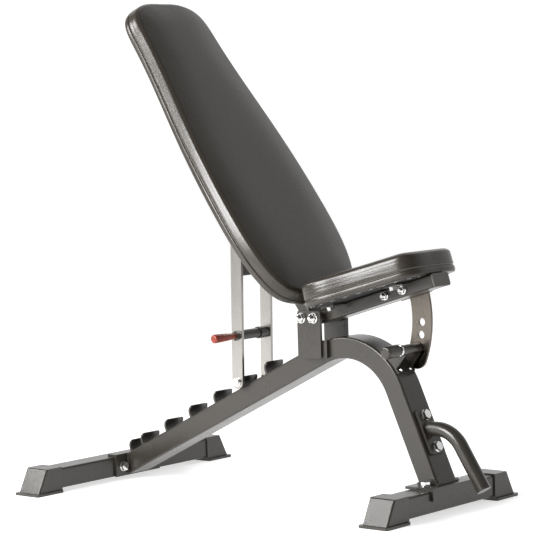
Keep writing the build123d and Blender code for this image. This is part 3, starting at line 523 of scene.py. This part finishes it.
# %% The tree that repeats a bead along a line
def bead_tree(name, bead):
    """Geometry Nodes tree with inputs Pitch, Length, Width, Height and Material."""
    tree = bpy.data.node_groups.new(name, "GeometryNodeTree")
    face = tree.interface
    face.new_socket("Geometry", in_out="INPUT", socket_type="NodeSocketGeometry")
    for title in ("Pitch", "Length", "Width", "Height"):
        face.new_socket(title, in_out="INPUT", socket_type="NodeSocketFloat")
    face.new_socket("Material", in_out="INPUT", socket_type="NodeSocketMaterial")
    face.new_socket("Geometry", in_out="OUTPUT", socket_type="NodeSocketGeometry")
    nodes = tree.nodes
    links = tree.links
    inlet = nodes.new("NodeGroupInput")
    outlet = nodes.new("NodeGroupOutput")
    curve = nodes.new("GeometryNodeMeshToCurve")
    steps = nodes.new("GeometryNodeResampleCurve")
    steps.mode = "LENGTH"
    tangent = nodes.new("GeometryNodeInputTangent")
    turn = nodes.new("FunctionNodeAlignRotationToVector")
    turn.axis = "X"
    size = nodes.new("ShaderNodeCombineXYZ")
    place = nodes.new("GeometryNodeInstanceOnPoints")
    solid = nodes.new("GeometryNodeRealizeInstances")
    smooth = nodes.new("GeometryNodeSetShadeSmooth")
    paint = nodes.new("GeometryNodeSetMaterial")
    if bead == "round":
        shape = nodes.new("GeometryNodeMeshUVSphere")
        shape.inputs["Segments"].default_value = 10
        shape.inputs["Rings"].default_value = 6
        shape.inputs["Radius"].default_value = 0.5
    else:
        shape = nodes.new("GeometryNodeMeshCube")
    links.new(inlet.outputs["Geometry"], curve.inputs["Mesh"])
    links.new(curve.outputs["Curve"], steps.inputs["Curve"])
    links.new(inlet.outputs["Pitch"], steps.inputs["Length"])
    links.new(tangent.outputs["Tangent"], turn.inputs["Vector"])
    for axis, title in (("X", "Length"), ("Y", "Width"), ("Z", "Height")):
        links.new(inlet.outputs[title], size.inputs[axis])
    links.new(steps.outputs["Curve"], place.inputs["Points"])
    links.new(shape.outputs["Mesh"], place.inputs["Instance"])
    links.new(turn.outputs["Rotation"], place.inputs["Rotation"])
    links.new(size.outputs["Vector"], place.inputs["Scale"])
    links.new(place.outputs["Instances"], solid.inputs["Geometry"])
    links.new(solid.outputs["Geometry"], smooth.inputs["Geometry"])
    links.new(smooth.outputs["Geometry"], paint.inputs["Geometry"])
    links.new(inlet.outputs["Material"], paint.inputs["Material"])
    links.new(paint.outputs["Geometry"], outlet.inputs["Geometry"])
    return tree


round_beads = bead_tree("round beads", "round")
flat_beads = bead_tree("flat beads", "flat")


def repeat_along(name, body, tree, lines, size, material):
    """Beads of (pitch, length, width, height), in millimetres, along lines of points in metres."""
    points = []
    edges = []
    for line, closed in lines:
        first = len(points)
        points += [tuple(p) for p in line]
        edges += [(k, k + 1) for k in range(first, len(points) - 1)]
        if closed:
            edges.append((len(points) - 1, first))
    mesh = bpy.data.meshes.new(name + "_line")
    mesh.from_pydata(points, edges, [])
    guide = bpy.data.objects.new(name + "_line", mesh)
    bpy.context.scene.collection.objects.link(guide)
    repeat = guide.modifiers.new("repeat", "NODES")
    repeat.node_group = tree
    sockets = {s.name: s.identifier for s in tree.interface.items_tree if s.in_out == "INPUT"}
    for title, value in zip(("Pitch", "Length", "Width", "Height"), size):
        repeat[sockets[title]] = value * MM
    repeat[sockets["Material"]] = material
    done = guide.evaluated_get(bpy.context.evaluated_depsgraph_get())
    piece = bpy.data.objects.new(name, bpy.data.meshes.new_from_object(done))
    bpy.context.scene.collection.objects.link(piece)
    bpy.data.objects.remove(guide)
    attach(piece, body)
    print(name, len(piece.data.polygons), "faces")
    return piece


# %% [markdown]
# Upholstery thread goes round each top panel just inside the seam, a stitch every four and a half
# millimetres. Under the board, staples hold the hem.

# %% Stitches round both pads
repeat_along(
    "backrest_stitches", "backrest", round_beads, [(back_thread, True)],
    (4.4, 3.2, 0.6, 0.5), thread,
)
repeat_along(
    "seat_stitches", "seat", round_beads, [(seat_thread, True)],
    (4.4, 3.4, 0.9, 0.9), thread,
)

# %% Dust covers and staples under the boards
def dust_cover(name, body, axes, outline):
    """A thin cloth sheet over the hem's inner edge, under the board."""
    centre = outline.mean(0)
    places = []
    profile = ((0.0, 0.15), (0.25, 0.1), (0.5, 0.1), (0.78, 0.1), (0.9, -0.35), (0.915, 0.1))
    for share, height in profile:
        flat = centre + (outline - centre) * share
        ripple = 0.12 * np.sin(np.arange(len(flat)) * 0.9) * (share > 0.7)
        places.append(np.column_stack([flat, BOARD_BACK + height + ripple]))
    sheet = mesh_from_rings(name, axes, places)
    close_and_turn(sheet)
    sheet.data.materials.append(cover_cloth)
    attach(sheet, body)
    line = to_world(axes, places[-2] + np.array([0, 0, -0.1]))
    repeat_along(
        name + "_staples", body, flat_beads, [(line, True)], (26, 9, 0.9, 0.5),
        SLOTS["chrome"],
    )


dust_cover("backrest_dust_cover", "backrest", back_axes, back_outline)
dust_cover("seat_dust_cover", "seat", seat_axes, seat_outline)

# %% [markdown]
# ## Welds
# Tubes and plates are joined by fillet welds, a row of overlapping ripples as wide as a pencil
# lead. They are painted with the frame, so they wear its finish.

# %% Weld beads where pieces meet
weld_lines = []
tube_low, tube_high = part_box("main_tube")
RAIL_SLOPE = math.tan(math.radians(26.0))
CATCH_RISE = 23.5 * MM        # from the rail's top, under a catch, to the catch's highest point
for number in range(1, 8):
    low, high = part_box(f"ladder_catch_{number}")
    inner = 3 * MM
    edge = high.x + 0.4 * MM
    z = high.z - CATCH_RISE + (edge - high.x + 4 * MM) * RAIL_SLOPE
    weld_lines.append(([(edge, low.y + inner, z), (edge, high.y - inner, z)], False))
saddle_low, saddle_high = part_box("front_saddle_plate")
leg_points = np.array([v.co for v in frame["nodes"]["main_tube"].data.vertices])
foot = leg_points[np.abs(leg_points[:, 2] - saddle_high.z) < 2 * MM]
foot = foot[foot[:, 0] > 0]
corners = [
    (foot[:, 0].min(), foot[:, 1].min()), (foot[:, 0].max(), foot[:, 1].min()),
    (foot[:, 0].max(), foot[:, 1].max()), (foot[:, 0].min(), foot[:, 1].max()),
]
weld_lines.append(([(x, y, saddle_high.z + 0.8 * MM) for x, y in corners], True))
end_low, end_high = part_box("rear_end_plate")
for side in (tube_low.y - 0.3 * MM, tube_high.y + 0.3 * MM):
    weld_lines.append(
        ([(end_high.x + 1 * MM, side, 14 * MM), (end_high.x + 1 * MM, side, 50 * MM)], False)
    )
repeat_along(
    "weld_beads", "frame", round_beads, weld_lines, (2.2, 4.2, 5.0, 4.2),
    SLOTS["frame_paint"],
)

# %% [markdown]
# ## Light, floor and camera
# The bench stands in a plain room that is white towards one wall and dimmer elsewhere, which keeps
# dark paint from turning grey. One soft lamp, high on the left, glances off the slanted feet.
# Another, in front, puts the bright strip along the backrest's side. The pale floor glows a
# little, as a floor of lit acrylic does, so it has no grey edge where it meets the wall.

# %% The room
world = bpy.data.worlds.new("white room")
world.use_nodes = True
nodes = world.node_tree.nodes
links = world.node_tree.links
direction = nodes.new("ShaderNodeTexCoord")
towards = nodes.new("ShaderNodeVectorMath")
towards.operation = "DOT_PRODUCT"
towards.inputs[1].default_value = (-0.35, 0.94, 0.0)
links.new(direction.outputs["Generated"], towards.inputs[0])
fade = nodes.new("ShaderNodeMapRange")
fade.interpolation_type = "SMOOTHSTEP"
fade.inputs["From Min"].default_value = 0.2
fade.inputs["From Max"].default_value = 0.88
fade.inputs["To Min"].default_value = 0.22
fade.inputs["To Max"].default_value = 1.08
links.new(towards.outputs["Value"], fade.inputs["Value"])
links.new(fade.outputs["Result"], nodes["Background"].inputs["Strength"])
nodes["Background"].inputs["Color"].default_value = (1.0, 1.0, 1.0, 1)
bpy.context.scene.world = world
bpy.context.scene.view_settings.view_transform = "Standard"


def soft_lamp(name, place, target, size, power):
    """A square area lamp that looks at a point."""
    lamp = bpy.data.lights.new(name, "AREA")
    lamp.size = size
    lamp.energy = power
    holder = bpy.data.objects.new(name, lamp)
    holder.location = place
    holder.rotation_euler = (Vector(target) - Vector(place)).to_track_quat("-Z", "Y").to_euler()
    bpy.context.scene.collection.objects.link(holder)


soft_lamp("high left", (-2.2, -1.8, 1.9), (-0.1, -0.2, 0.1), 1.0, 60)
soft_lamp("front left", (-0.63, -2.75, 1.4), (-0.3, -0.15, 0.65), 1.3, 120)

FLOOR = 30.0
floor_mesh = bpy.data.meshes.new("floor")
floor_mesh.from_pydata(
    [(-FLOOR, -FLOOR, 0), (FLOOR, -FLOOR, 0), (FLOOR, FLOOR, 0), (-FLOOR, FLOOR, 0)],
    [], [(0, 1, 2, 3)],
)
floor = bpy.data.objects.new("floor", floor_mesh)
bpy.context.scene.collection.objects.link(floor)
floor_mesh.materials.append(
    finish(
        "pale floor", (0.80, 0.80, 0.795), 0.01, (0.55, 0.65), 60, 0.0001,
        Emission_Color=(1, 1, 1, 1), Emission_Strength=0.62,
    )
)

# %% The camera
camera = bpy.data.cameras.new("camera")
camera.lens = 149.92
camera.sensor_width = 36.0
viewer = bpy.data.objects.new("camera", camera)
right = Vector((0.76711, 0.64084, -0.02963))
up = Vector((-0.02431, 0.07519, 0.99687))
ahead = Vector((-0.64106, 0.76399, -0.07325))
viewer.matrix_world = Matrix.Translation((2.7013, -3.2663, 0.7464)) @ Matrix(
    (right, up, -ahead)
).transposed().to_4x4()
bpy.context.scene.collection.objects.link(viewer)
bpy.context.scene.camera = viewer
